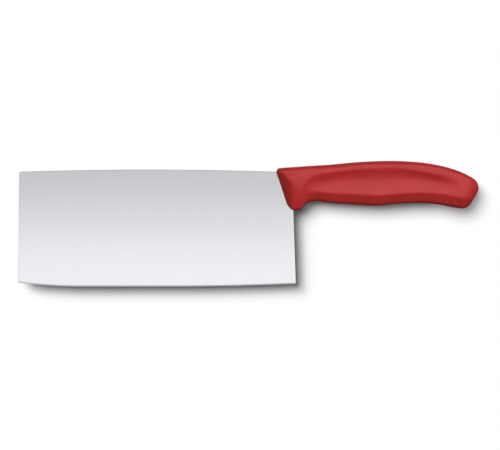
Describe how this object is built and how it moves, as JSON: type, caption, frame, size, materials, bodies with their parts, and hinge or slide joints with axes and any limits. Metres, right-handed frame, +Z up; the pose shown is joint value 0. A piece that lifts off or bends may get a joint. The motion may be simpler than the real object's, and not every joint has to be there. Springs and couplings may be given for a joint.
{
  "type": "chinese chef's knife",
  "caption": "Kitchen knife with a broad rectangular blade, its tang held inside a moulded red handle with a scooped side and a hooked butt.",
  "frame": {"origin": "under the middle of the knife's box, on the surface that it lies on", "axes": "+X from the blade's tip to the handle's butt, +Y from the cutting edge to the spine, +Z up out of the knife's side"},
  "size_m": [0.2982, 0.0814, 0.0212],
  "materials": {
    "steel": "satin, finely ground",
    "rigid_plastic": "moulded, hidden",
    "soft_plastic": "fine spark-eroded grain"
  },
  "bodies": {
    "root": {"blade": "steel", "handle_core": "rigid_plastic", "handle_grip": "soft_plastic"}
  },
  "joints": []
}
